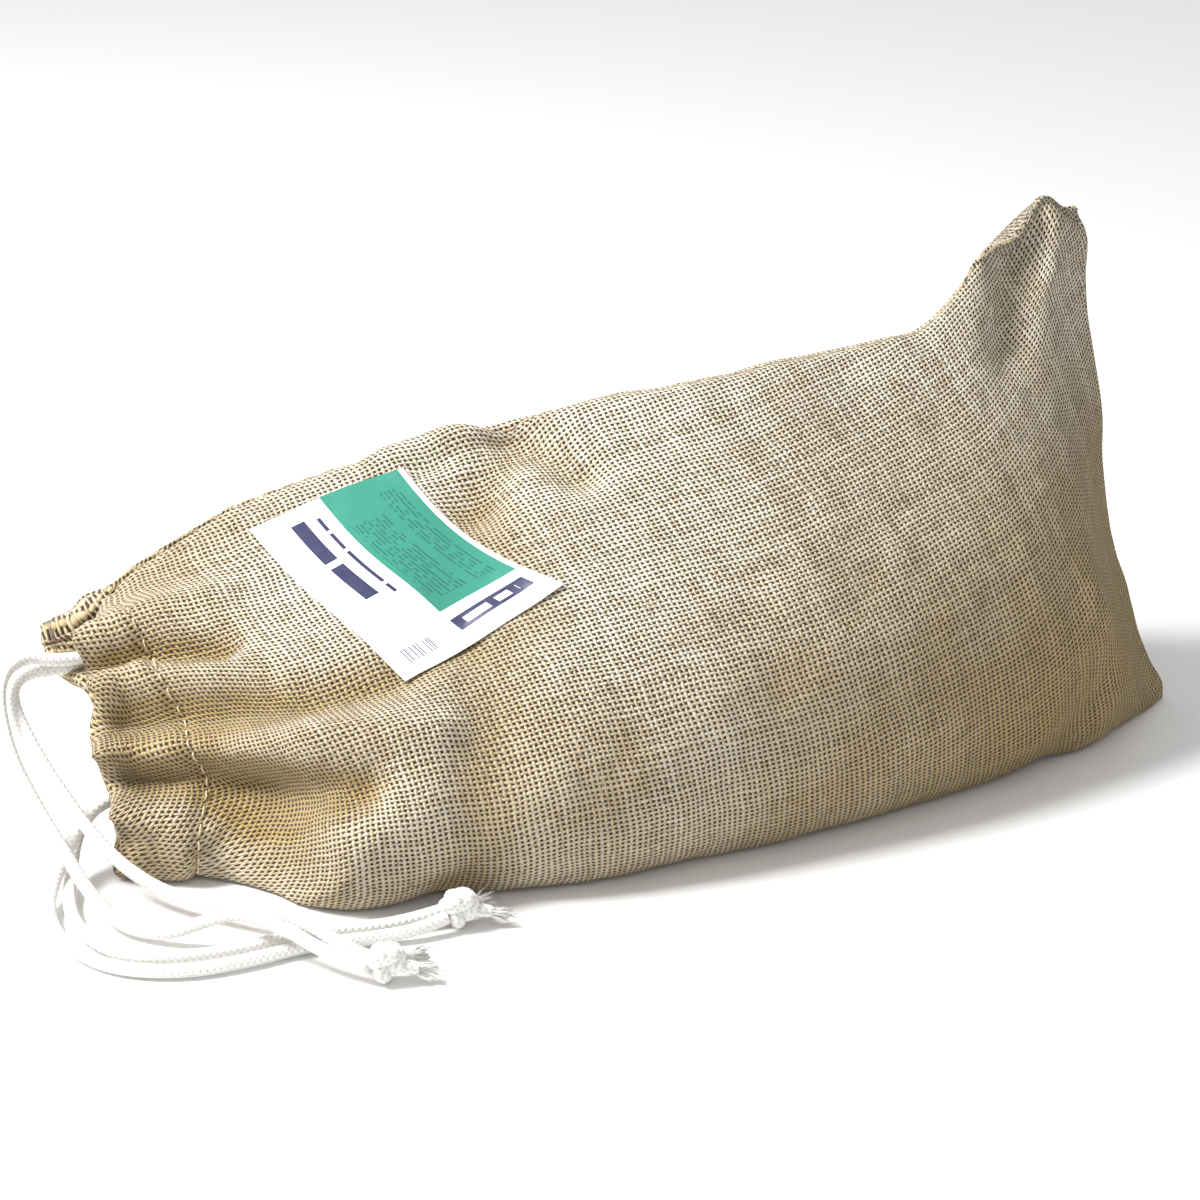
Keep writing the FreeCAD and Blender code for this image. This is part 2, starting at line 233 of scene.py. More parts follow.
# shade_factor below 1 darkens the whole material as painted shade.
def hessian(name, shade_factor=1.0):
    """Plain-woven jute. The UV layer holds thread counts along and across the bag."""
    n = Nodes(name)
    place = n.place()
    u, v, _ = n.separate(n.uv())
    wx, wy, _ = n.separate(n.noise(place, 48, 2.0, output="Color"))
    u = n.plus(u, n.times(n.minus(wx, 0.5), 1.5))
    v = n.plus(v, n.times(n.minus(wy, 0.5), 1.5))

    def thread(across, along, other_sign):
        """Height of one set of threads, and a number for each thread."""
        index = n.math("FLOOR", across)
        offset = n.minus(n.math("FRACT", across), 0.5)
        number = n.add("ShaderNodeTexWhiteNoise", noise_dimensions="1D")
        n.link(n.plus(index, other_sign * 37.7), number.inputs["W"])
        tone = number.outputs["Value"]
        lane = n.combine(n.times(along, 0.22), n.times(index, 3.7), other_sign * 9.0)
        slub = n.noise(lane, 1.0, 2.5, 0.65)
        width = n.plus(n.times(slub, 0.26), n.math("MULTIPLY_ADD", tone, 0.06, 0.125))
        reach = n.math("DIVIDE", offset, width)
        round_top = n.minus(1.0, n.times(reach, reach))
        parity = n.minus(n.times(n.math("FRACT", n.times(index, 0.5)), 4.0), 1.0)
        wave = n.times(n.math("SINE", n.times(along, math.pi)), parity)
        height = n.plus(round_top, n.times(wave, other_sign * 0.62))
        twist = n.math("SINE", n.plus(n.times(along, 9.0), n.times(offset, 9.0)))
        return height, tone, slub, n.times(twist, 0.10)

    warp, warp_tone, warp_slub, warp_twist = thread(v, u, 1)
    weft, weft_tone, weft_slub, weft_twist = thread(u, v, -1)
    warp = n.plus(warp, warp_twist)
    weft = n.plus(weft, weft_twist)
    on_top = n.math("GREATER_THAN", warp, weft)
    top = n.math("MAXIMUM", warp, weft)
    height = n.math("MAXIMUM", top, -0.55)
    tone = n.plus(n.times(on_top, warp_tone),
                  n.times(n.minus(1.0, on_top), weft_tone))
    slub = n.plus(n.times(on_top, warp_slub),
                  n.times(n.minus(1.0, on_top), weft_slub))
    yarn = n.ramp(n.plus(n.times(tone, 0.32), n.times(slub, 0.68)),
                  (0.15, (0.60 * shade_factor, 0.47 * shade_factor, 0.29 * shade_factor)),
                  (0.45, (0.90 * shade_factor, 0.80 * shade_factor, 0.61 * shade_factor)),
                  (0.80, (0.98 * shade_factor, 0.93 * shade_factor, 0.80 * shade_factor)))
    patch = n.noise(place, 11, 4.0, 0.6)
    yarn = n.mix(n.spread(patch, 0.42, 0.66, 0.0, 0.60), yarn, (0.42, 0.28, 0.105, 1))
    # Painted shade: golden brown laid into the fold hollows, more of it towards the bag's right end and towards
    # the floor, less on the bag's upper part, and extra on the upper neck by the mouth.
    hollow_shade, _, _ = n.separate(n.uv("hollow_shade"))
    x, _, z = n.separate(place)
    painted_shade = n.plus(n.times(n.spread(x, -0.06, 0.21), 0.74),
                  n.plus(n.times(hollow_shade, 0.8), n.times(n.spread(z, 0.10, 0.0), 0.46)))
    painted_shade = n.times(painted_shade, n.spread(z, 0.105, 0.15, 1.0, 0.15))
    mouth = n.times(n.spread(x, -0.145, -0.185), n.spread(z, 0.035, 0.06))
    painted_shade = n.plus(painted_shade, n.times(mouth, 0.42))
    yarn = n.mix(n.math("MINIMUM", painted_shade, 0.88), yarn, (0.46, 0.305, 0.085, 1))
    fleck = n.spread(n.noise(place, 420, 1.0), 0.70, 0.76)
    yarn = n.mix(n.times(fleck, 0.55), yarn, (0.26, 0.15, 0.07, 1))
    # Painted shade: the gaps between the threads and the threads' falling sides darken to near black.
    depth = n.spread(height, 0.0, 0.75)
    colour = n.mix(depth, (0.040, 0.022, 0.008, 1), yarn)
    fibre = n.noise(n.combine(n.times(u, 5.0), n.times(v, 5.0)), 3.0, 3.0, 0.7)
    lifted = n.plus(height, n.times(fibre, 0.5))
    normal = n.bump(lifted, 0.0007, 1.0)
    return n.finish(colour, 0.92, normal, Sheen_Weight=0.25, Sheen_Roughness=0.5, Specular_IOR_Level=0.15)


def cotton(name):
    """Braided white cotton. The UV layer holds millimetres along and the turn round the cord."""
    n = Nodes(name)
    along, turn, _ = n.separate(n.uv())
    slant, ring = n.times(along, 0.42), n.times(turn, 5.0)
    left = n.math("SINE", n.times(n.plus(slant, ring), 2 * math.pi))
    right = n.math("SINE", n.times(n.minus(slant, ring), 2 * math.pi))
    braid = n.math("MAXIMUM", left, right)
    fuzz = n.noise(n.place(), 1300, 3.0, 0.7)
    height = n.plus(n.times(braid, 0.6), fuzz)
    # Darker where the braid lies low: painted shade in the grooves between the plaits, mixed with the random
    # fuzz.
    colour = n.mix(n.spread(height, -0.3, 1.0), (0.56, 0.54, 0.50, 1), (0.80, 0.79, 0.76, 1))
    stain = n.noise(n.place(), 40, 2.0)
    colour = n.mix(n.spread(stain, 0.55, 0.8, 0.0, 0.35), colour, (0.80, 0.77, 0.70, 1))
    return n.finish(colour, 0.85, n.bump(height, 0.0002, 0.6), Sheen_Weight=0.35, Specular_IOR_Level=0.2)


HESSIAN = hessian("hessian_weave")
# The inside face is the same jute darkened to 0.82 as painted shade, since it lies in shadow inside the bag.
HESSIAN_IN = hessian("hessian_inside_shaded", 0.82)
COTTON = cotton("cotton_braid")


# ---- the bag's shape: the same rows as part.py, with two more for the mouth ----

# x, then (y, z) of the upper seam, the front belly and the back belly, then y of the front foot,
# the lower seam and the back foot, then how far the front and the back face bow outwards
ROWS = np.array((
    (-212, 46, 81, -27, 15, -2, 10, -22, -20, -16, 19, 6),
    (-198, 45, 83, -32, 17, -1, 12, -25, -20, -15, 19, 8),
    (-180, 44, 88, -44, 24, 2, 20, -34, -21, -12, 17, 13),
    (-148, 37, 102, -94, 22, 8, 26, -84, -50, -26, 9, 14),
    (-95, 26, 121, -112, 28, 28, 38, -96, -58, -10, 14, 12),
    (-30, -4, 144, -123, 33, 36, 46, -106, -60, 2, 14, 16),
    (45, -26, 154, -126, 36, 36, 50, -108, -62, 6, 14, 18),
    (120, -26, 160, -118, 36, 30, 50, -102, -64, 0, 12, 16),
    (175, -8, 172, -106, 30, 2, 44, -94, -68, -28, 3, 6),
    (205, 3, 184, -86, 20, -42, 24, -80, -70, -58, 2, 2),
    (222, 7, 188, -71.5, 9, -64.5, 9, -73, -71, -69, 2, 2),
), float)
X_MOUTH, X_END = -212.0, 222.0
HEM = -185.0                 # where the hem's fold is stitched down
FRONT_COUNT, BACK_COUNT = 170, 110      # points round each side of the bag
STEP = 1.9                   # between rings of points
FLOOR_GAP = 0.25             # the lowest that the cloth's outer face lies


def row_at(x):
    """The row at any x, on curves through the rows that don't overshoot."""
    i = int(np.clip(np.searchsorted(ROWS[:, 0], x) - 1, 0, len(ROWS) - 2))
    low, high = ROWS[i], ROWS[i + 1]
    span = high[0] - low[0]
    t = (x - low[0]) / span

    def slope(k):
        if k == 0 or k == len(ROWS) - 1:
            return (high - low) / span
        left = (ROWS[k] - ROWS[k - 1]) / (ROWS[k][0] - ROWS[k - 1][0])
        right = (ROWS[k + 1] - ROWS[k]) / (ROWS[k + 1][0] - ROWS[k][0])
        total = np.where(np.abs(left + right) < 1e-9, 1.0, left + right)
        return np.where(left * right > 0, 2 * left * right / total, 0.0)

    return ((2 * t ** 3 - 3 * t * t + 1) * low + (3 * t * t - 2 * t ** 3) * high
            + span * ((t ** 3 - 2 * t * t + t) * slope(i) + (t ** 3 - t * t) * slope(i + 1)))


def bezier(points, count):
    points = np.asarray(points, float)
    t = np.linspace(0, 1, count)[:, None]
    while len(points.shape) == 2:
        points = np.repeat(points[None], count, 0)
    while points.shape[1] > 1:
        points = points[:, :-1] * (1 - t[:, :, None]) + points[:, 1:] * t[:, :, None]
    return points[:, 0]


def half_section(row, side):
    """A dense (y, z) line from the upper seam over the belly to the lower seam."""
    _, ty, tz, fy, fz, by, bz, foot_front, seam, foot_back, bow_front, bow_back = row
    (ey, ez), foot, bow = ((fy, fz), foot_front, bow_front) if side < 0 else ((by, bz), foot_back, bow_back)
    length = math.hypot(ey - ty, ez - tz)
    shoulder = (ty + (ey - ty) / 3 + bow * side * (tz - ez) / length,
                tz + (ez - tz) / 3 + bow * side * (ey - ty) / length)
    heel = (foot + 0.45 * (ey - foot), 0.0)
    face = bezier([(ty, tz), shoulder, (ey, ez + length / 3), (ey, ez)], 90)
    under = bezier([(ey, ez), (ey, 0.45 * ez), heel, (foot, 0.0)], 50)
    sole = bezier([(foot, 0.0), (seam, 0.0)], 20)
    return np.concatenate([face, under[1:], sole[1:]])


def distances(line):
    """How far along a line each of its points is."""
    return np.concatenate([[0.0], np.cumsum(np.linalg.norm(np.diff(line, axis=0), axis=1))])


def even(line, count):
    """A line cut into evenly spaced points, and its length."""
    reach = distances(line)
    at = np.linspace(0, reach[-1], count)
    return np.stack([np.interp(at, reach, line[:, k]) for k in range(line.shape[1])], 1), reach[-1]


def base_shell():
    """The plain bag: points[i, j] round the bag at each x, front first from the upper seam."""
    xs = np.linspace(X_MOUTH, X_END, int((X_END - X_MOUTH) / STEP) + 1)
    points = np.empty((len(xs), FRONT_COUNT + BACK_COUNT, 3))
    lengths = np.empty((len(xs), 2))
    for i, x in enumerate(xs):
        row = row_at(x)
        front, lengths[i, 0] = even(half_section(row, -1), FRONT_COUNT + 1)
        back, lengths[i, 1] = even(half_section(row, 1)[::-1], BACK_COUNT + 1)
        loop = np.concatenate([front[:-1], back[:-1]])
        points[i, :, 0] = x
        points[i, :, 1:] = loop
    return xs, points, lengths


# Folds in the front of the bag: how far each stands out in mm (minus is a hollow), its width in
# mm, then its line as (x, share of the way from the upper to the lower seam)
FRONT_FOLDS = (
    (4.5, 9, ((-214, 0.15), (-190, 0.16), (-160, 0.17))),
    (-6.5, 6, ((-214, 0.25), (-188, 0.25), (-164, 0.29))),
    (4.0, 9, ((-214, 0.37), (-192, 0.36), (-170, 0.36))),
    (-7.5, 11, ((-204, 0.47), (-188, 0.475), (-155, 0.44), (-120, 0.42), (-98, 0.36))),
    (5.0, 9, ((-214, 0.565), (-188, 0.56), (-166, 0.53), (-135, 0.515), (-112, 0.53))),
    (-9.5, 9, ((-206, 0.635), (-184, 0.635), (-162, 0.63), (-143, 0.61))),
    (-4.0, 8, ((-176, 0.66), (-168, 0.74), (-160, 0.79))),
    (3.5, 8, ((-214, 0.74), (-196, 0.745), (-186, 0.79))),
    (2.5, 12, ((-150, 0.72), (-138, 0.66), (-124, 0.66), (-112, 0.72))),
    (3.0, 8, ((-205, 0.87), (-180, 0.85), (-160, 0.83))),
    (6.0, 12, ((-78, 0.0), (-66, 0.005), (-54, 0.005))),
    (-3.0, 3.5, ((-74, 0.055), (-60, 0.045), (-46, 0.03))),
    (-7.5, 9, ((-43, 0.02), (-36, 0.07), (-28, 0.13))),
    (-5.0, 8, ((-66, 0.14), (-55, 0.10), (-47, 0.055))),
    (-5.0, 17, ((-66, 0.17), (-82, 0.32), (-92, 0.50), (-104, 0.64), (-112, 0.80))),
    (-7.0, 13, ((184, 0.02), (177, 0.08), (167, 0.13))),
    (3.0, 9, ((199, 0.12), (206, 0.05))),
    (4.5, 14, ((168, 0.60), (188, 0.74), (200, 0.86))),
    (-2.5, 14, ((120, 0.95), (150, 0.80), (176, 0.72))),
)
BACK_FOLDS = (
    (4.0, 8, ((-214, 0.20), (-192, 0.20), (-168, 0.22))),
    (-5.0, 7, ((-214, 0.34), (-190, 0.34), (-160, 0.36))),
    (4.0, 8, ((-214, 0.48), (-188, 0.48), (-165, 0.50))),
    (-5.0, 8, ((-214, 0.62), (-186, 0.62), (-150, 0.60))),
    (4.0, 8, ((-214, 0.76), (-190, 0.76), (-160, 0.75))),
    (-5.0, 16, ((-76, 0.10), (-88, 0.35), (-98, 0.60), (-104, 0.85))),
    (-6.0, 13, ((150, 0.16), (172, 0.25), (188, 0.42))),
    (-4.0, 12, ((-20, 0.05), (-8, 0.14))),
    (3.5, 15, ((120, 0.55), (160, 0.62), (180, 0.74))),
)


def fold_height(xs, reach, lengths, folds):
    """How far the folds move each point of one face; reach is millimetres from the upper seam."""
    total = np.zeros(reach.shape)
    gx = np.repeat(xs[:, None], reach.shape[1], 1)
    for height, width, line in folds:
        nodes = [(x, share * np.interp(x, xs, lengths)) for x, share in line]
        nearest = np.full(reach.shape, 1e9)
        for (ax, ay), (bx, by) in zip(nodes, nodes[1:]):
            dx, dy = bx - ax, by - ay
            t = np.clip(((gx - ax) * dx + (reach - ay) * dy) / (dx * dx + dy * dy), 0, 1)
            nearest = np.minimum(nearest, np.hypot(gx - ax - t * dx, reach - ay - t * dy))
        total += height * fade(nearest, width)
    return total * (1 + 0.55 * (1 - smooth_step(gx, -205, -130)))


def lumps(points, scale, seed):
    """Smooth noise from -1 to 1 at each point, for bumps of about that many millimetres."""
    flat = points.reshape(-1, 3) / scale + seed
    values = np.array([noise.noise(Vector(p)) for p in flat])
    return values.reshape(points.shape[:-1])


def shell_normals(points):
    """Outward normals of the shell."""
    along = np.gradient(points, axis=0)
    round_about = np.roll(points, -1, 1) - np.roll(points, 1, 1)
    normals = np.cross(round_about, along)
    return normals / np.maximum(np.linalg.norm(normals, axis=2, keepdims=True), 1e-9)


def soften(field, times):
    for _ in range(times):
        field = (np.roll(field, 1, 1) + 2 * field + np.roll(field, -1, 1)) / 4
    return field


def make_shell():
    xs, points, lengths = base_shell()
    # the ridge is round where chips fill the bag and sharp at its empty corner and its mouth
    full = smooth_step(xs, -150, -60) * (1 - smooth_step(xs, 130, 185))
    round_ridge = soften(points, 26)
    index = np.arange(points.shape[1])
    gap = np.minimum(index, points.shape[1] - index)
    near = fade(gap, 16.0)
    weight = (full[:, None] * near[None, :])[:, :, None]
    points = points * (1 - weight) + round_ridge * weight
    normals = shell_normals(points)
    front_reach = np.linspace(0, 1, FRONT_COUNT, endpoint=False)[None, :] * lengths[:, :1]
    back_reach = (1 - np.linspace(0, 1, BACK_COUNT, endpoint=False)[None, :]) * lengths[:, 1:]
    move = np.concatenate([fold_height(xs, front_reach, lengths[:, 0], FRONT_FOLDS),
                           fold_height(xs, back_reach, lengths[:, 1], BACK_FOLDS)], 1)
    for reach, part in ((front_reach, slice(0, FRONT_COUNT)), (back_reach, slice(FRONT_COUNT, None))):
        move[:, part] -= 1.3 * fade(reach, 2.4)
    filled = smooth_step(xs, -110, -60)[:, None]
    move += 1.1 * filled * lumps(points, 24, 3.1) + (0.25 + 0.25 * filled) * lumps(points, 9, 8.7)
    move = soften(move, 1)
    points = points + normals * move[:, :, None]
    # Painted shade: how deep each fold hollow lies, kept to darken the cloth's colour there.
    hollow_shade = np.clip(-soften(move, 3) / 9.0, 0, 1)
    height = points[:, :, 2]
    points[:, :, 2] = np.where(height < 1.0, FLOOR_GAP + 0.75 * np.exp(height - 1.0), height)
    points[:, :, 2] = np.maximum(points[:, :, 2], FLOOR_GAP)
    # the mouth's edge is scalloped by the gathering, and the front one starts further in at its top
    share = np.arange(FRONT_COUNT) / FRONT_COUNT
    scallop = np.interp(share, (0, 0.05, 0.12, 0.19, 0.25, 0.33, 0.41, 0.47, 0.56, 0.62, 0.67, 0.74, 0.82, 0.9,
                                1), (5, 12, 10, 7.5, 9.5, 6, 8.5, 4, 1, 3, 4.5, 0.5, 2.5, 1, 2))
    back_share = 1 - np.arange(BACK_COUNT) / BACK_COUNT
    back_scallop = np.interp(back_share, (0, 0.15, 0.3, 0.45, 0.7, 1), (1, 0, 6, 12, 12, 4)) \
        + 2.0 * np.sin(back_share * 21) ** 2
    edge = (1 - smooth_step(xs, -212, -186))[:, None]
    points[:, :, 0] += edge * soften(np.concatenate([scallop, back_scallop])[None, :], 4)
    # the empty bottom edge draws in between its corners, and the upper corner stands up as an ear
    reach = np.concatenate([front_reach, back_reach], 1)
    whole = np.repeat(lengths, (FRONT_COUNT, BACK_COUNT), 1)
    far = smooth_step(xs, 130, 222)[:, None]
    portion = reach / whole
    drawn = np.interp(portion, (0, 0.05, 0.10, 0.15, 0.22, 0.36, 0.43, 0.49, 0.56, 0.63, 0.72, 0.84, 0.91, 0.95,
                                1), (4, 1, 1.5, 6, 9, 12, 14, 18, 20.5, 21, 19, 14, 9, 3, -2))
    points[:, :, 0] -= far * soften(drawn, 6)
    ear = smooth_step(xs, 120, 205)[:, None] * fade(reach, 60)
    points[:, :, 2] += 11.0 * ear * (1 - 0.45 * smooth_step(xs, 205, 222)[:, None])
    points[:, :, 2] += 7.0 * fade(xs - 162, 22)[:, None] * fade(reach, 40)
    crest = np.interp(xs, (-90, -60, 0, 60, 130, 170), (0, 3, 5, 4, 1, 0))[:, None]
    points[:, :, 2] += crest * fade(reach, 45)
    neck = np.interp(xs, (-212, -200, -188, -176, -140, -100, -70), (-10, -8, -2, 3, 8, 7, 0))[:, None]
    points[:, :, 2] += neck * fade(reach, np.interp(xs, (-200, -170), (16, 32))[:, None])
    tip = smooth_step(xs, 202, 222)[:, None]
    points[:, :, 2] -= 8.0 * tip * fade(reach, 16)
    corner = smooth_step(xs, 196, 222)[:, None]
    points[:, :, 0] -= corner * 4.0 * fade(whole - reach, 6)
    points[:, :, 2] = np.maximum(points[:, :, 2], FLOOR_GAP)
    return xs, points, hollow_shade


XS, SHELL, HOLLOW_SHADE = make_shell()
NORMALS = shell_normals(SHELL)
THREAD_TURN = math.radians(8)          # how far the weave turns from the bag's length
ALONG_STEP, ACROSS_STEP = 2.15, 1.85   # millimetres from thread to thread


def blur(field, axis, times):
    """Smooth a field along one axis, its two ends kept as they are."""
    field = np.moveaxis(field.copy(), axis, 0)
    for _ in range(times):
        field[1:-1] = (field[:-2] + 2 * field[1:-1] + field[2:]) / 4
    return np.moveaxis(field, 0, axis)


def side_grid(side):
    """One face of the shell with both its seam lines, its normals and its thread counts."""
    if side < 0:
        columns = np.arange(FRONT_COUNT + 1)
        share = columns / FRONT_COUNT
    else:
        columns = (FRONT_COUNT + np.arange(BACK_COUNT + 1)) % (FRONT_COUNT + BACK_COUNT)
        share = 1 - np.arange(BACK_COUNT + 1) / BACK_COUNT
    points, normals = SHELL[:, columns].copy(), NORMALS[:, columns].copy()
    # threads are counted by the true distance over the cloth, so the weave isn't stretched
    steps = np.linalg.norm(np.diff(points, axis=0), axis=2)
    along = np.concatenate([np.zeros((1, len(columns))), np.cumsum(steps, 0)])
    along = blur(along - along[int(np.searchsorted(XS, -30))], 1, 40)
    steps = np.linalg.norm(np.diff(points, axis=1), axis=2)
    across = np.concatenate([np.zeros((len(XS), 1)), np.cumsum(steps, 1)], 1)
    across -= across[:, int(np.argmin(np.abs(share - 0.45)))][:, None]
    across = blur(across if side < 0 else -across, 0, 25)
    cos, sin = math.cos(THREAD_TURN), math.sin(THREAD_TURN)
    counts = np.stack([(along * cos - across * sin) / ALONG_STEP, (across * cos + along * sin) / ACROSS_STEP], 2)
    return points, normals, counts


def far_edge(side):
    """The other face's edge at the bottom seam, with as many points as this one's."""
    if side < 0:
        line, count = SHELL[-1, :FRONT_COUNT + 1], BACK_COUNT + 1
    else:
        columns = (FRONT_COUNT + np.arange(BACK_COUNT + 1)) % (FRONT_COUNT + BACK_COUNT)
        line, count = SHELL[-1, columns], FRONT_COUNT + 1
    return even(line[::-1], count)[0]


def cloth(side, name):
    """One panel with its hem: the outer face, the rolled edge of the mouth and the turned-in ply."""
    points, normals, counts = side_grid(side)
    hem = np.clip((HEM - XS) / 4.0, 0, 1)[:, None, None]
    swell = 1.3 * hem * (1 - np.clip((X_MOUTH + 4 - XS) / 4.0, 0, 1))[:, None, None]
    stitched = 1.0 * fade(XS - HEM, 1.6)[:, None, None]
    outer = points + normals * (swell - stitched)
    other = far_edge(-side)
    middle = (outer[-1] + other) / 2
    rows, uv = [], []
    for share, out in ((0.96, 2.2), (0.75, 1.9), (0.35, 1.1)):
        rows.append(outer[-1] * (1 - share) + middle * share + np.array((out, 0, 0)))
        uv.append(counts[-1] + np.array((1.5 * share, 0)))
    rows += [outer[i] for i in range(len(XS) - 1, 0, -1)]
    uv += [counts[i] for i in range(len(XS) - 1, 0, -1)]
    ply = 6.4
    edge, inward = points[0], -normals[0]
    for turn in np.linspace(0, math.pi, 7):
        rows.append(edge + np.array((-1.0, 0, 0)) * (math.sin(turn) * ply / 2)
                    + inward * (ply / 2 * (1 - math.cos(turn))))
        uv.append(counts[0] - np.array((turn * ply / 4.3, 0)))
    inside = [i for i in range(1, len(XS)) if XS[i] < HEM + 2]
    for i in inside:
        depth = ply + (1.7 - ply) * smooth_step(XS[i], HEM - 9, HEM + 1)
        rows.append(points[i] - normals[i] * depth)
        uv.append(2 * counts[0] - counts[i])
    rows, uv = np.array(rows), np.array(uv)
    count = rows.shape[1]
    # Painted shade for the fold hollows, laid on the outer face's rows as a second UV layer.
    dip_shade = np.zeros(rows.shape[:2])
    first = 0 if side < 0 else FRONT_COUNT
    columns = (first + np.arange(count)) % HOLLOW_SHADE.shape[1]
    dip_shade[3:2 + len(XS)] = HOLLOW_SHADE[:0:-1, columns]
    faces = [f[::-1] for f in grid_faces(len(rows), count)]
    rows[:, :, 2] = np.maximum(rows[:, :, 2], FLOOR_GAP)
    obj = new_mesh(name, lay_out(rows.reshape(-1, 3)), faces, HESSIAN)
    obj.data.materials.append(HESSIAN_IN)
    set_uv(obj, uv.reshape(-1, 2))
    set_uv(obj, np.stack([dip_shade, dip_shade], 2).reshape(-1, 2), "hollow_shade")
    solid = obj.modifiers.new("thickness", "SOLIDIFY")
    solid.thickness = 1.1 * MM
    solid.offset = -1
    solid.material_offset = 1
    apply_modifiers(obj)
    above_floor(obj)
    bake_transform(obj)
    return obj


def apply_modifiers(obj):
    bpy.context.view_layer.update()
    evaluated = obj.evaluated_get(bpy.context.evaluated_depsgraph_get())
    mesh = bpy.data.meshes.new_from_object(evaluated, preserve_all_data_layers=True,
                                           depsgraph=bpy.context.evaluated_depsgraph_get())
    obj.modifiers.clear()
    obj.data = mesh


def above_floor(obj):
    """Lift any point of a mesh that went through the floor."""
    places = np.empty(len(obj.data.vertices) * 3)
    obj.data.vertices.foreach_get("co", places)
    places[2::3] = np.maximum(places[2::3], 0.0002)
    obj.data.vertices.foreach_set("co", places)
    obj.data.update()


front_cloth = cloth(-1, "front_cloth")
back_cloth = cloth(1, "back_cloth")
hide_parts("front_panel", "front_casing")
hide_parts("back_panel", "back_casing")


# ---- drawcords: the free ends follow part.py's routes ----

CORD = 5.0
ROUTES = {
    "cord_a_end_1": ((-166, 28.29, 63.97), (-189, 28.69, 63.97), (-212, 28.29, 63.97),
                     (-225.5, 30.5, 64), (-234, 22, 60.5), (-233, 3, 48), (-228, -16, 34), (-220, -35, 18),
                     (-208, -52, 8), (-195, -71, 7), (-184, -88, 13), (-174, -109, 13.5), (-166, -123, 8),
                     (-160, -134, 7)),
    "cord_a_end_2": ((-166, 24.65, 68.23), (-189, 25.05, 68.23), (-212, 24.65, 68.23),
                     (-226, 29, 72), (-240, 18, 68), (-243, 0, 50), (-239, -14, 34), (-234, -28, 20),
                     (-231, -45, 9), (-227, -64, 3.5), (-215, -79, 4), (-203, -86, 10), (-192, -93, 14.4),
                     (-183, -110, 13.8), (-173, -126, 8), (-164, -138, 7)),
    "cord_b_end_1": ((-166, -12.07, 28.27), (-189, -11.67, 28.27), (-212, -12.07, 28.27),
                     (-224, -15.5, 20), (-235, -23.5, 9), (-244, -37, 3.2), (-248, -54, 2.7),
                     (-247, -73, 2.7), (-239, -91, 2.7), (-220, -104, 2.7), (-197, -107.5, 2.7),
                     (-173, -106.5, 2.7), (-149, -113, 2.7), (-134, -117, 4), (-123.5, -116.5, 6)),
    "cord_b_end_2": ((-166, -7.52, 25.00), (-189, -7.12, 25.00), (-212, -7.52, 25.00),
                     (-222, -9, 15), (-228.5, -19.5, 5.5), (-235, -34, 2.8), (-239.5, -51, 2.7),
                     (-239, -69, 2.7), (-232, -85, 2.7), (-215, -95, 2.7), (-193, -98.5, 2.7),
                     (-170, -97.5, 2.7), (-148, -105, 2.7), (-133, -109, 4), (-121.5, -110.8, 6)),
}
KNOTS = {"cord_a_knot": (-158, -139, 8), "cord_b_knot": (-118, -115, 8)}


def spline_points(points):
    """Points in layout millimetres along the NURBS spline with these control points."""
    curve = bpy.data.curves.new("route", "CURVE")
    curve.dimensions = "3D"
    curve.resolution_u = 24
    spline = curve.splines.new("NURBS")
    spline.points.add(len(points) - 1)
    for spot, place in zip(spline.points, points):
        spot.co = (*place, 1.0)
    spline.order_u = 3
    spline.use_endpoint_u = True
    obj = bpy.data.objects.new("route", curve)
    bpy.context.collection.objects.link(obj)
    mesh = bpy.data.meshes.new_from_object(obj)
    line = np.array([v.co[:] for v in mesh.vertices])
    bpy.data.objects.remove(obj)
    bpy.data.curves.remove(curve)
    bpy.data.meshes.remove(mesh)
    return line


def evenly(line, step):
    """A line cut into points about a step apart, and how far along it each one is."""
    reach = distances(line)
    at = np.linspace(0, reach[-1], max(4, int(reach[-1] / step) + 1))
    return np.stack([np.interp(at, reach, line[:, k]) for k in range(3)], 1), at


def frames(line):
    """A tangent and two sideways directions at each point, turning as little as possible."""
    tangents = np.gradient(line, axis=0)
    tangents /= np.linalg.norm(tangents, axis=1, keepdims=True)
    side = np.cross(tangents[0], (0.0, 0.0, 1.0))
    if np.linalg.norm(side) < 0.2:
        side = np.cross(tangents[0], (0.0, 1.0, 0.0))
    sides = []
    for tangent in tangents:
        side = side - tangent * np.dot(side, tangent)
        side = side / np.linalg.norm(side)
        sides.append(side)
    sides = np.array(sides)
    return tangents, sides, np.cross(tangents, sides)


def tube(name, line, radius, material, body, step=0.6, around=20, braid=0.0):
    """A mesh cord along a line in layout millimetres; braid is the height of its plaits."""
    line, at = evenly(np.asarray(line, float), step)
    _, side, up = frames(line)
    turn = np.linspace(0, 2 * math.pi, around, endpoint=False)
    stops = np.atleast_1d(radius)
    radii = np.interp(np.linspace(0, 1, len(line)), np.linspace(0, 1, len(stops)), stops)
    radii = np.repeat(radii[:, None], around, 1)
    if braid:
        slant, ring = at[:, None] * 2.6, turn[None, :] * 5
        waves = np.maximum(np.sin(slant + ring), np.sin(slant - ring))
        radii = radii + braid * (waves - 0.6)
    out = side[:, None, :] * np.cos(turn)[None, :, None] + up[:, None, :] * np.sin(turn)[None, :, None]
    points = line[:, None, :] + radii[:, :, None] * out
    verts = points.reshape(-1, 3)
    faces = [f[::-1] for f in grid_faces(len(line), around, closed=True)]
    faces.append(tuple(range(around)))
    faces.append(tuple(range(len(verts) - around, len(verts)))[::-1])
    obj = new_mesh(name, lay_out(verts), faces, material, body=body)
    uv = np.stack([np.repeat(at, around), np.tile(turn / (2 * math.pi), len(line))], 1)
    set_uv(obj, uv)
    return obj, lay_out(line)


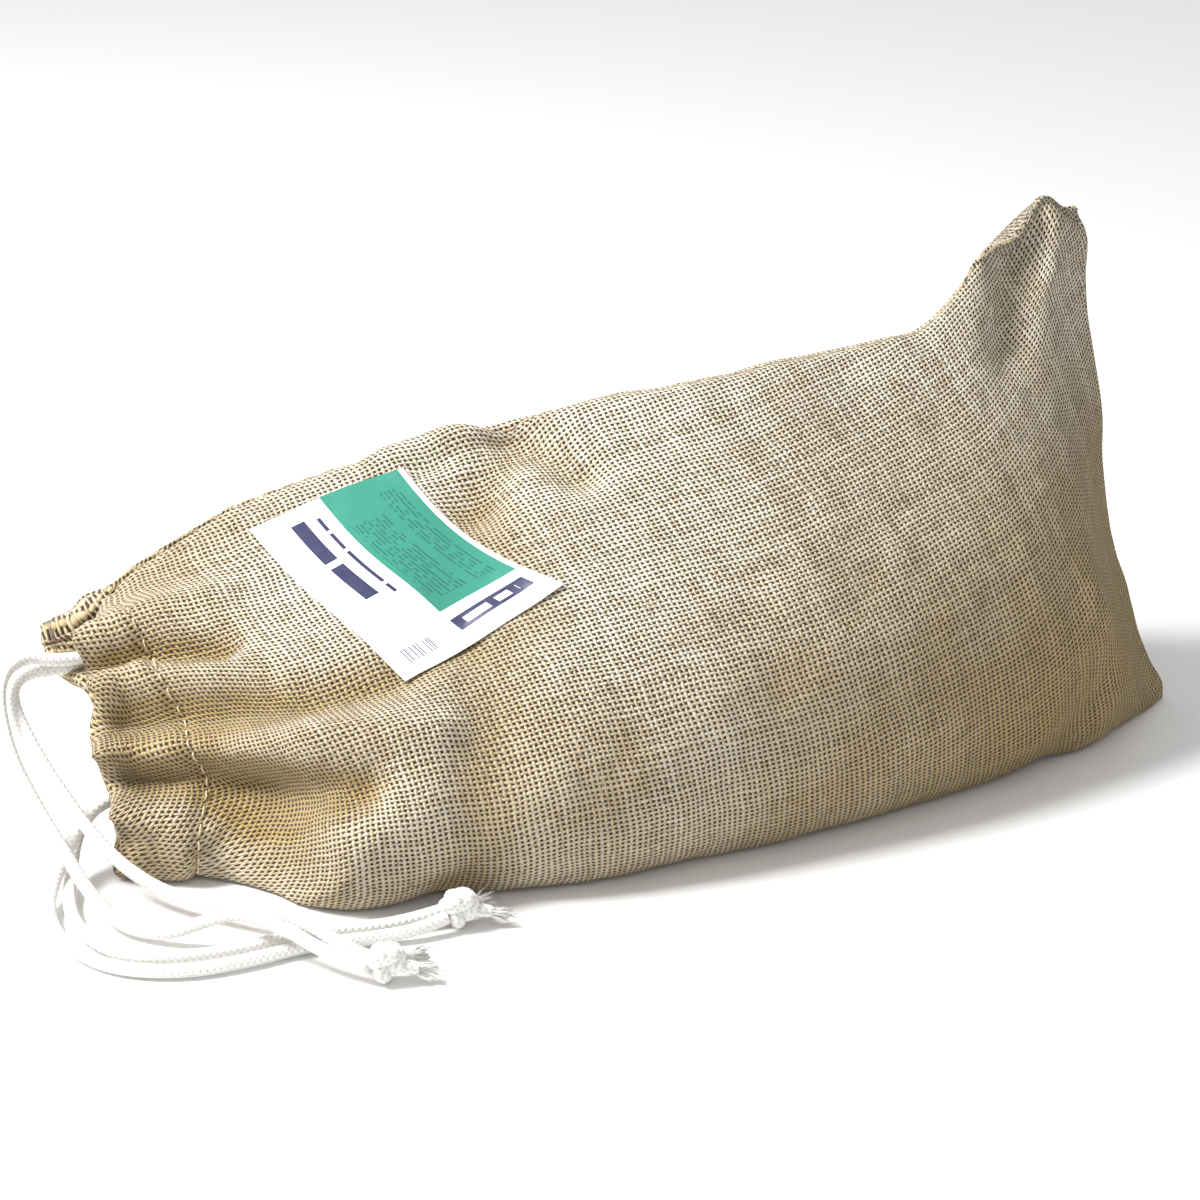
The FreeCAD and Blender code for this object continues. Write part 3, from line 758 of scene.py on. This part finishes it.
def trefoil(centre, size, thick, turn):
    """An overhand knot pulled tight, as points round its closed line."""
    t = np.linspace(0, 2 * math.pi, 120)
    points = np.stack([size * (np.sin(t) + 2 * np.sin(2 * t)), thick * -np.sin(3 * t),
                       size * (np.cos(t) - 2 * np.cos(2 * t))], 1)
    c, s = math.cos(turn), math.sin(turn)
    spin = np.array(((c, -s, 0), (s, c, 0), (0, 0, 1)))
    return points @ spin.T + np.array(centre)


def merge(name, objects, body):
    """Several meshes joined into one piece."""
    bm = bmesh.new()
    for obj in objects:
        bm.from_mesh(obj.data)
    mesh = bpy.data.meshes.new(name)
    bm.to_mesh(mesh)
    bm.free()
    for material in objects[0].data.materials:
        mesh.materials.append(material)
    for obj in objects:
        bpy.data.objects.remove(obj)
    merged = bpy.data.objects.new(name, mesh)
    bpy.context.collection.objects.link(merged)
    mesh.polygons.foreach_set("use_smooth", [True] * len(mesh.polygons))
    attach(merged, body)
    return merged


def knot(name, centre, body, heading, seed):
    """A tight overhand knot of both ends, with two frayed tails."""
    rng = random.Random(seed)
    parts = []
    loop, _ = tube(name + "_loop", trefoil(centre, 1.75, 2.3, heading), 2.55, COTTON, body, braid=0.18)
    parts.append(loop)
    second, _ = tube(name + "_loop_2", trefoil(np.array(centre) + (0.6, 0.4, 0.5), 1.35, 3.3, heading + 1.1),
                     2.3, COTTON, body, braid=0.18)
    parts.append(second)
    for spread in (-25, 20):
        angle = heading + math.radians(spread)
        way = np.array((math.cos(angle), math.sin(angle), -0.22))
        start = np.array(centre) + way * 4.0
        stub, _ = tube(name + "_tail", [start, start + way * 4, start + way * 8], [2.3, 2.6, 2.1], COTTON, body,
                       braid=0.15)
        parts.append(stub)
        for _ in range(26):
            fan = np.array([rng.uniform(-1, 1) for _ in range(3)])
            root = start + way * 7 + fan * 1.3
            tip = root + way * rng.uniform(4.5, 7.5) + fan * rng.uniform(0.8, 2.4)
            middle = (root + tip) / 2 + np.array([rng.uniform(-0.7, 0.7) for _ in range(3)])
            root[2], middle[2], tip[2] = (max(v, 0.8) for v in (root[2], middle[2], tip[2]))
            strand, _ = tube(name + "_strand", [root, middle, tip], [0.5, 0.45, 0.2], COTTON, body, step=1.2,
                             around=6)
            parts.append(strand)
    return merge(name, parts, body)


for cord, heading, seed in (("a", math.radians(-5), 5), ("b", math.radians(5), 9)):
    body = "cord_" + cord
    knot_name = body + "_knot"
    knot_piece = knot("knot_" + cord, KNOTS[knot_name], body, heading, seed)
    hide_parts(knot_name)
    for number in ("1", "2"):
        node = "%s_end_%s" % (body, number)
        line = spline_points(ROUTES[node])
        piece, path = tube("drawcord_%s_end_%s" % (cord, number), line, CORD / 2, COTTON, body, braid=0.16)
        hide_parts(node)


# ---- places on the finished cloth ----

def on_cloth(side, x, share, lift=0.0):
    """A point on a face at x, a share of the way from the upper to the lower seam, lifted off it."""
    x, share = np.broadcast_arrays(np.asarray(x, float), np.asarray(share, float))
    row = np.clip((x - XS[0]) / (XS[1] - XS[0]), 0, len(XS) - 1.001)
    total = FRONT_COUNT + BACK_COUNT
    column = share * FRONT_COUNT if side < 0 else total - share * BACK_COUNT
    i, j = np.floor(row).astype(int), np.floor(column).astype(int)
    a, b = (row - i)[..., None], (column - j)[..., None]
    found = []
    for field in (SHELL, NORMALS):
        low = field[i, j % total] * (1 - b) + field[i, (j + 1) % total] * b
        high = field[i + 1, j % total] * (1 - b) + field[i + 1, (j + 1) % total] * b
        found.append(low * (1 - a) + high * a)
    point, normal = found
    normal = normal / np.linalg.norm(normal, axis=-1, keepdims=True)
    return point + normal * np.asarray(lift, float)[..., None], normal


# ---- the paper label ----

ROW_STEP = 0.026             # from row to row of small print, as a share of the label
# (x, share from the upper to the lower seam) of each corner
LABEL_CORNERS = ((-137.0, 0.065), (-79.0, 0.05), (-51.0, 0.325), (-115.0, 0.43))


def label_material():
    """Gloss paper: a white ground, a green panel, a dark band and rows of plain bars for print."""
    n = Nodes("label_print")
    u, v, _ = n.separate(n.uv("sheet"))

    def between(value, low, high):
        return n.times(n.math("GREATER_THAN", value, low), n.math("LESS_THAN", value, high))

    def box(u0, u1, v0, v1):
        return n.times(between(u, u0, u1), between(v, v0, v1))

    def broken(area, along, density, row, gap):
        """An area cut into bars of uneven length."""
        dice = n.noise(n.combine(n.times(along, density), row), 1.0, 0.0)
        return n.times(area, n.math("GREATER_THAN", dice, gap))

    def rows(area):
        """Small print: rows of bars, broken differently in each row."""
        lane = n.math("DIVIDE", u, ROW_STEP)
        index = n.math("FLOOR", lane)
        dice = n.noise(n.combine(n.times(v, 34.0), n.times(index, 5.13)), 1.0, 0.0)
        inked = n.math("LESS_THAN", n.math("FRACT", lane), 0.46)
        return n.times(area, n.times(inked, n.math("GREATER_THAN", dice, 0.44)))

    white = (0.90, 0.91, 0.91, 1)
    green, deep = (0.032, 0.23, 0.165, 1), (0.014, 0.105, 0.09, 1)
    navy = (0.030, 0.032, 0.085, 1)
    colour = n.mix(box(0.46, 0.965, -0.1, 0.795), white, green)
    small = n.math("MAXIMUM", rows(box(0.50, 0.72, 0.22, 0.74)), rows(box(0.765, 0.90, 0.10, 0.74)))
    colour = n.mix(n.times(small, 0.75), colour, deep)
    title = n.math("MAXIMUM", box(0.205, 0.295, 0.08, 0.335), box(0.205, 0.295, 0.37, 0.60))
    fine = broken(box(0.36, 0.385, 0.10, 0.66), v, 24.0, 2.0, 0.42)
    bars = broken(box(0.10, 0.30, 0.86, 0.93), u, 150.0, 7.0, 0.5)
    band = box(0.46, 0.93, 0.845, 0.915)
    pale = broken(box(0.52, 0.86, 0.865, 0.897), u, 15.0, 4.0, 0.42)
    ink = n.math("MAXIMUM", n.math("MAXIMUM", title, fine), n.math("MAXIMUM", bars, band))
    colour = n.mix(ink, colour, navy)
    colour = n.mix(pale, colour, white)
    scuff = n.noise(n.place(), 160, 3.0)
    rough = n.spread(scuff, 0.3, 0.7, 0.16, 0.30)
    ripple = n.noise(n.place(), 90, 2.0)
    return n.finish(colour, rough, n.bump(ripple, 0.0006, 0.35), Coat_Weight=0.5, Coat_Roughness=0.12)


def make_label():
    rows, columns = 56, 76
    u, v = np.meshgrid(np.linspace(0, 1, rows), np.linspace(0, 1, columns), indexing="ij")
    weights = ((1 - u) * (1 - v), u * (1 - v), u * v, (1 - u) * v)
    x = sum(w * c[0] for w, c in zip(weights, LABEL_CORNERS))
    share = sum(w * c[1] for w, c in zip(weights, LABEL_CORNERS))
    x -= (1.5 + 5 * u) * np.sin(math.pi * v)
    points, normals = on_cloth(-1, x, share, 0.9)
    floor_points, _ = on_cloth(-1, x, share, 0.0)
    for _ in range(60):
        inner = (points[:-2, 1:-1] + points[2:, 1:-1] + points[1:-1, :-2] + points[1:-1, 2:]) / 4
        points[1:-1, 1:-1] = inner
        for edge in (points[0], points[-1], points[:, 0], points[:, -1]):
            edge[1:-1] = (edge[:-2] + edge[2:]) / 2
        gap = np.sum((points - floor_points) * normals, axis=2)
        points += normals * np.clip(0.7 - gap, 0, 2)[:, :, None]
    curl = 0.02              # how sharply the two outer corners lift
    lifted = 1.4 * np.exp(-((u - 1) ** 2 + (v - 1) ** 2) / curl) + 0.8 * np.exp(-(u ** 2 + (v - 1) ** 2) / curl)
    points += normals * lifted[:, :, None]
    facing = np.cross(points[1, 0] - points[0, 0], points[0, 1] - points[0, 0]) @ normals[0, 0]
    faces = grid_faces(rows, columns)
    if facing > 0:
        faces = [f[::-1] for f in faces]
    obj = new_mesh("label", lay_out(points.reshape(-1, 3)), faces, label_material(), body="bag")
    set_uv(obj, np.stack([u, v], 2).reshape(-1, 2), "sheet")
    solid = obj.modifiers.new("thickness", "SOLIDIFY")
    solid.thickness = 0.25 * MM
    solid.offset = -1
    apply_modifiers(obj)
    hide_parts("paper_label")


make_label()


# ---- the drawcords inside the hem ----

def hem_cord(node, pieces, body, x, depth_in=3.2):
    """A stretch of cord inside the hem along (side, first share, last share) pieces."""
    parts = [on_cloth(side, x, np.linspace(first, last, 50)) for side, first, last in pieces]
    skin = np.concatenate([p[0] for p in parts])
    out = np.concatenate([p[1] for p in parts])
    line = skin - out * depth_in
    for _ in range(12):
        line[1:-1] = (line[:-2] + 2 * line[1:-1] + line[2:]) / 4
        depth = ((skin - line) * out).sum(1)
        line -= out * np.clip(depth_in - depth, 0, None)[:, None]
    line[:, 2] = np.maximum(line[:, 2], CORD / 2 + 1.5)
    obj, _ = tube(node.replace("cord_", "hem_cord_"), line, CORD / 2 - 0.3, COTTON, body, braid=0.12)
    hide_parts(node)


HEM_CORD_A, HEM_CORD_B = -202.3, -193.7     # where each cord lies in the hem
for cord, x in (("a", HEM_CORD_A), ("b", HEM_CORD_B)):
    hem_cord("cord_%s_front_run" % cord, ((-1, 0.14, 0.86),), "front_lip", x)
    hem_cord("cord_%s_back_run" % cord, ((1, 0.14, 0.86),), "back_lip", x)
hem_cord("cord_a_turn", ((-1, 0.88, 0.94), (1, 0.93, 0.88)), "bag", HEM_CORD_A, 4.2)
hem_cord("cord_b_turn", ((-1, 0.12, 0.07), (1, 0.08, 0.12)), "bag", HEM_CORD_B, 4.6)


# ---- stitching ----

def thread_material():
    n = Nodes("jute_thread")
    along, turn, _ = n.separate(n.uv())
    ply = n.math("SINE", n.plus(n.times(along, 5.0), n.times(turn, 2 * math.pi)))
    fuzz = n.noise(n.place(), 900, 2.0)
    colour = n.mix(n.spread(fuzz, 0.3, 0.7), (0.52, 0.38, 0.22, 1), (0.80, 0.66, 0.44, 1))
    return n.finish(colour, 0.85, n.bump(n.plus(ply, fuzz), 0.0002, 0.7), Sheen_Weight=0.2)


THREAD = thread_material()


def stitches(name, node, side, x, body):
    """A row of running stitches along the hem's fold."""
    parts = []
    for k in range(22):
        share = 0.115 + k * 0.0355
        here = np.linspace(share, share + 0.021, 7)
        lift = 0.35 - 1.2 * (np.abs(np.linspace(-1, 1, 7)) ** 4)
        points, _ = on_cloth(side, np.full(7, x), here, lift)
        points[:, 2] = np.maximum(points[:, 2], 0.7)
        stitch, _ = tube("stitch", points, 0.38, THREAD, body, step=0.5, around=8)
        parts.append(stitch)
    row = merge(name, parts, body)
    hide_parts(node)


for side, lip in ((-1, "front"), (1, "back")):
    stitches(lip + "_hem_stitches", lip + "_hem_stitching", side, HEM, lip + "_lip")


def seam_stitches(name, line):
    """A row of stitches along a seam line."""
    line, _ = evenly(np.asarray(line, float), 1.0)
    parts = []
    for k in range(2, len(line) - 8, 8):
        stitch, _ = tube("stitch", line[k:k + 6], 0.42, THREAD, "bag", step=1.0, around=6)
        parts.append(stitch)
    row = merge(name + "_threads", parts, "bag")
    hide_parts(name)


seam = (XS > -178) & (XS < 206)
seam_stitches("upper_side_stitching", SHELL[seam, 0] + NORMALS[seam, 0] * 0.1)
seam_stitches("lower_side_stitching", np.maximum(SHELL[seam, FRONT_COUNT], (-1e9, -1e9, 0.5)))
edge = (SHELL[-1, 2:FRONT_COUNT - 2] + far_edge(1)[2:FRONT_COUNT - 2]) / 2 + np.array((1.6, 0, 0))
seam_stitches("bottom_stitching", edge)


# ---- stray fibres ----

def stray_fibres():
    """Fine jute fibres that stand off the front of the cloth."""
    rng = random.Random(31)
    parts = []
    for _ in range(150):
        x, share = rng.uniform(-140, 170), rng.uniform(0.04, 0.9)
        if -145 < x < -45 and share < 0.47:
            continue
        heading, turn = rng.uniform(0, 6.283), rng.uniform(-0.5, 0.5)
        length = rng.uniform(3, 11)
        line = []
        for t in np.linspace(0, 1, 7):
            heading += turn / 2
            x += math.cos(heading) * length / 7
            share = min(0.96, max(0.02, share + math.sin(heading) * length / 7 / 230))
            line.append(on_cloth(-1, x, share, -0.2 + 1.5 * math.sin(math.pi * min(1.0, t * 0.8)))[0])
        line = np.maximum(line, (-1e9, -1e9, 0.4))
        fibre, _ = tube("fibre", line, [0.10, 0.09, 0.05], THREAD, "bag", step=1.2, around=5)
        parts.append(fibre)
    fuzz = merge("stray_fibres", parts, "bag")
    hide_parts("front_panel")


stray_fibres()


# ---- wood chips ----

def wood_material():
    n = Nodes("split_wood")
    along, across, _ = n.separate(n.uv())
    grain = n.noise(n.combine(n.times(along, 0.12), n.times(across, 2.2)), 1.0, 4.0, 0.65)
    tone = n.noise(n.combine(n.math("FLOOR", n.math("DIVIDE", across, 40.0)), 0.5), 1.7, 0.0)
    wood = n.ramp(tone, (0.25, (0.30, 0.13, 0.05)), (0.5, (0.62, 0.36, 0.16)),
                  (0.75, (0.80, 0.60, 0.34)))
    colour = n.mix(n.spread(grain, 0.35, 0.65), n.mix(0.55, wood, (0.22, 0.10, 0.04, 1)), wood)
    return n.finish(colour, 0.75, n.bump(grain, 0.0005, 0.8))


WOOD = wood_material()


def splinter(rng, size):
    """Corners and faces of one split chip about its middle, long way along X."""
    length, width, thick = size
    rings = []
    for t in (-0.5, -0.28, 0.0, 0.26, 0.5):
        narrow = 1.0 - 0.75 * abs(2 * t) ** 3 * rng.uniform(0.5, 1.0)
        skew = rng.uniform(-0.12, 0.12) * width
        half_w = width / 2 * narrow * rng.uniform(0.85, 1.1)
        half_t = thick / 2 * rng.uniform(0.7, 1.1) * (1 - 0.5 * abs(2 * t) ** 4)
        x = t * length + rng.uniform(-0.03, 0.03) * length
        rings.append([(x + rng.uniform(-0.5, 0.5), sy * half_w + skew, sz * half_t)
                      for sy, sz in ((-1, -0.6), (-0.4, -1), (1, -0.8), (0.9, 0.7), (0.1, 1), (-1, 0.8))])
    verts = [p for ring in rings for p in ring]
    faces = grid_faces(len(rings), 6, closed=True)
    faces += [tuple(range(6))[::-1], tuple(range(len(verts) - 6, len(verts)))]
    return np.array(verts), faces


def chips(name, spots, body, seed):
    """Many chips as one mesh; each spot is a place, a normal and a size factor."""
    rng = random.Random(seed)
    verts, faces, uv = [], [], []
    for k, (place, normal, factor) in enumerate(spots):
        size = (rng.uniform(7, 16) * factor, rng.uniform(2.6, 6) * factor, rng.uniform(1.0, 2.4) * factor)
        shape, sides = splinter(rng, size)
        turn = Vector(normal).to_track_quat("Z", "X").to_matrix() @ \
            Vector((0, 0, 1)).to_track_quat("Z", "X").to_matrix().inverted()
        a = rng.uniform(0, 6.283)
        spin = np.array(turn) @ np.array(
            [[math.cos(a), -math.sin(a), 0], [math.sin(a), math.cos(a), 0], [0, 0, 1]])
        start = len(verts)
        verts.extend(shape @ spin.T + np.array(place))
        faces.extend([tuple(i + start for i in f) for f in sides])
        uv.extend([(p[0] + 50 * k, p[1] + 20 + 40 * k) for p in shape])
    obj = new_mesh(name, lay_out(verts), faces, WOOD, smooth=False, body=body)
    set_uv(obj, uv)
    return obj


def fill():
    """The settled chips: a lumpy body just inside the cloth, its end towards the mouth sloping."""
    first = int(np.searchsorted(XS, -84))
    last = int(np.searchsorted(XS, 206))
    inside = SHELL[first:last] - NORMALS[first:last] * 3.6
    inside = inside + NORMALS[first:last] * np.minimum(lumps(inside, 7, 5.5) * 1.2, 0.4)[:, :, None]
    inside[:, :, 2] = np.maximum(inside[:, :, 2], 3.0)
    count = inside.shape[1]
    for i, ring in enumerate(inside):
        cap = np.interp(XS[first + i], (-84, 100, 140, 206), (400, 400, 132, 92))
        high = np.nonzero(ring[:, 2] > cap)[0]
        if len(high):
            front = next(j for j in range(count) if ring[j, 2] <= cap)
            back = next(j for j in range(count - 1, 0, -1) if ring[j, 2] <= cap)
            order = np.concatenate([np.arange(back + 1, count), np.arange(front)])
            t = np.linspace(0, 1, len(order) + 2)[1:-1, None]
            ring[order] = ring[back] * (1 - t) + ring[front] * t
    rings = []
    centre = inside[0].mean(0)
    for share, out in ((0.12, 14.0), (0.35, 12.0), (0.6, 8.5), (0.82, 4.0)):
        ring = centre + (inside[0] - centre) * share
        ring[:, 0] -= out
        rings.append(ring + 0.8 * lumps(ring, 6, 2.2)[:, None])
    rings = np.concatenate([np.array(rings), inside])
    end_centre = inside[-1].mean(0)
    tail = np.array([end_centre + (inside[-1] - end_centre) * share + np.array((out, 0, 0))
                     for share, out in ((0.7, 2), (0.3, 3))])
    rings = np.concatenate([rings, tail])
    count = rings.shape[1]
    verts = rings.reshape(-1, 3)
    faces = grid_faces(len(rings), count, closed=True)
    faces += [tuple(range(count))[::-1], tuple(range(len(verts) - count, len(verts)))]
    obj = new_mesh("chip_mass", lay_out(verts), faces, WOOD, body="bag")
    set_uv(obj, verts[:, :2])
    rng = random.Random(21)
    spots = []
    for _ in range(330):
        ring = rings[rng.randrange(0, 5)]
        point = ring[rng.randrange(count)]
        place = point * 0.91 + centre * 0.09
        place[2] = max(place[2], 12.0)
        spots.append((place - np.array((rng.uniform(0, 1.5), 0, 0)),
                      (-1.0, rng.uniform(-0.6, 0.6), rng.uniform(-0.1, 0.8)), 0.9))
    heap = chips("chip_slope", spots, "bag", 4)
    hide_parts("chip_fill")
    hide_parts("chip_fill")


fill()


def neck_chips():
    rng = random.Random(8)
    spots = []
    for _ in range(46):
        x = -166 + 70 * rng.random() ** 0.8
        seam = row_at(x)[8]
        reach = 22 * smooth_step(x, -178, -110) + 6
        spots.append(((x, seam + rng.uniform(-reach, reach), 3.2 + rng.uniform(0, 2.0)),
                      (rng.uniform(-0.25, 0.25), rng.uniform(-0.25, 0.25), 1.0), 0.8))
    obj = chips("neck_chips", spots, "bag", 12)
    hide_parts("loose_chips")


neck_chips()


# ---- lights and floor ----

def flat_material(name, colour, rough):
    n = Nodes(name)
    return n.finish((*colour, 1.0), rough)


FLOOR_TOP = -0.0006
floor = new_mesh("floor", [(x, y, FLOOR_TOP) for x, y in ((-4, -4), (4, -4), (4, 6), (-4, 6))], [(0, 1, 2, 3)],
                 flat_material("pale_floor", (0.90, 0.90, 0.90), 0.6), smooth=False)

world = bpy.data.worlds.new("studio")
bpy.context.scene.world = world
world.use_nodes = True
world.node_tree.nodes["Background"].inputs["Color"].default_value = (1.0, 1.0, 1.0, 1.0)
world.node_tree.nodes["Background"].inputs["Strength"].default_value = 0.60
bpy.context.scene.view_settings.view_transform = "Standard"
bpy.context.scene.view_settings.look = "None"


def area_light(name, place, target, size, power, colour=(1, 1, 1)):
    light = bpy.data.lights.new(name, "AREA")
    light.size = size
    light.energy = power
    light.color = colour
    obj = bpy.data.objects.new(name, light)
    bpy.context.collection.objects.link(obj)
    aim(obj, place, target)


area_light("key", (-0.95, 0.25, 1.1), (0, 0, 0.05), 0.45, 36)
area_light("fill", (-0.7, -1.5, 1.0), (0, 0, 0.05), 1.2, 3)
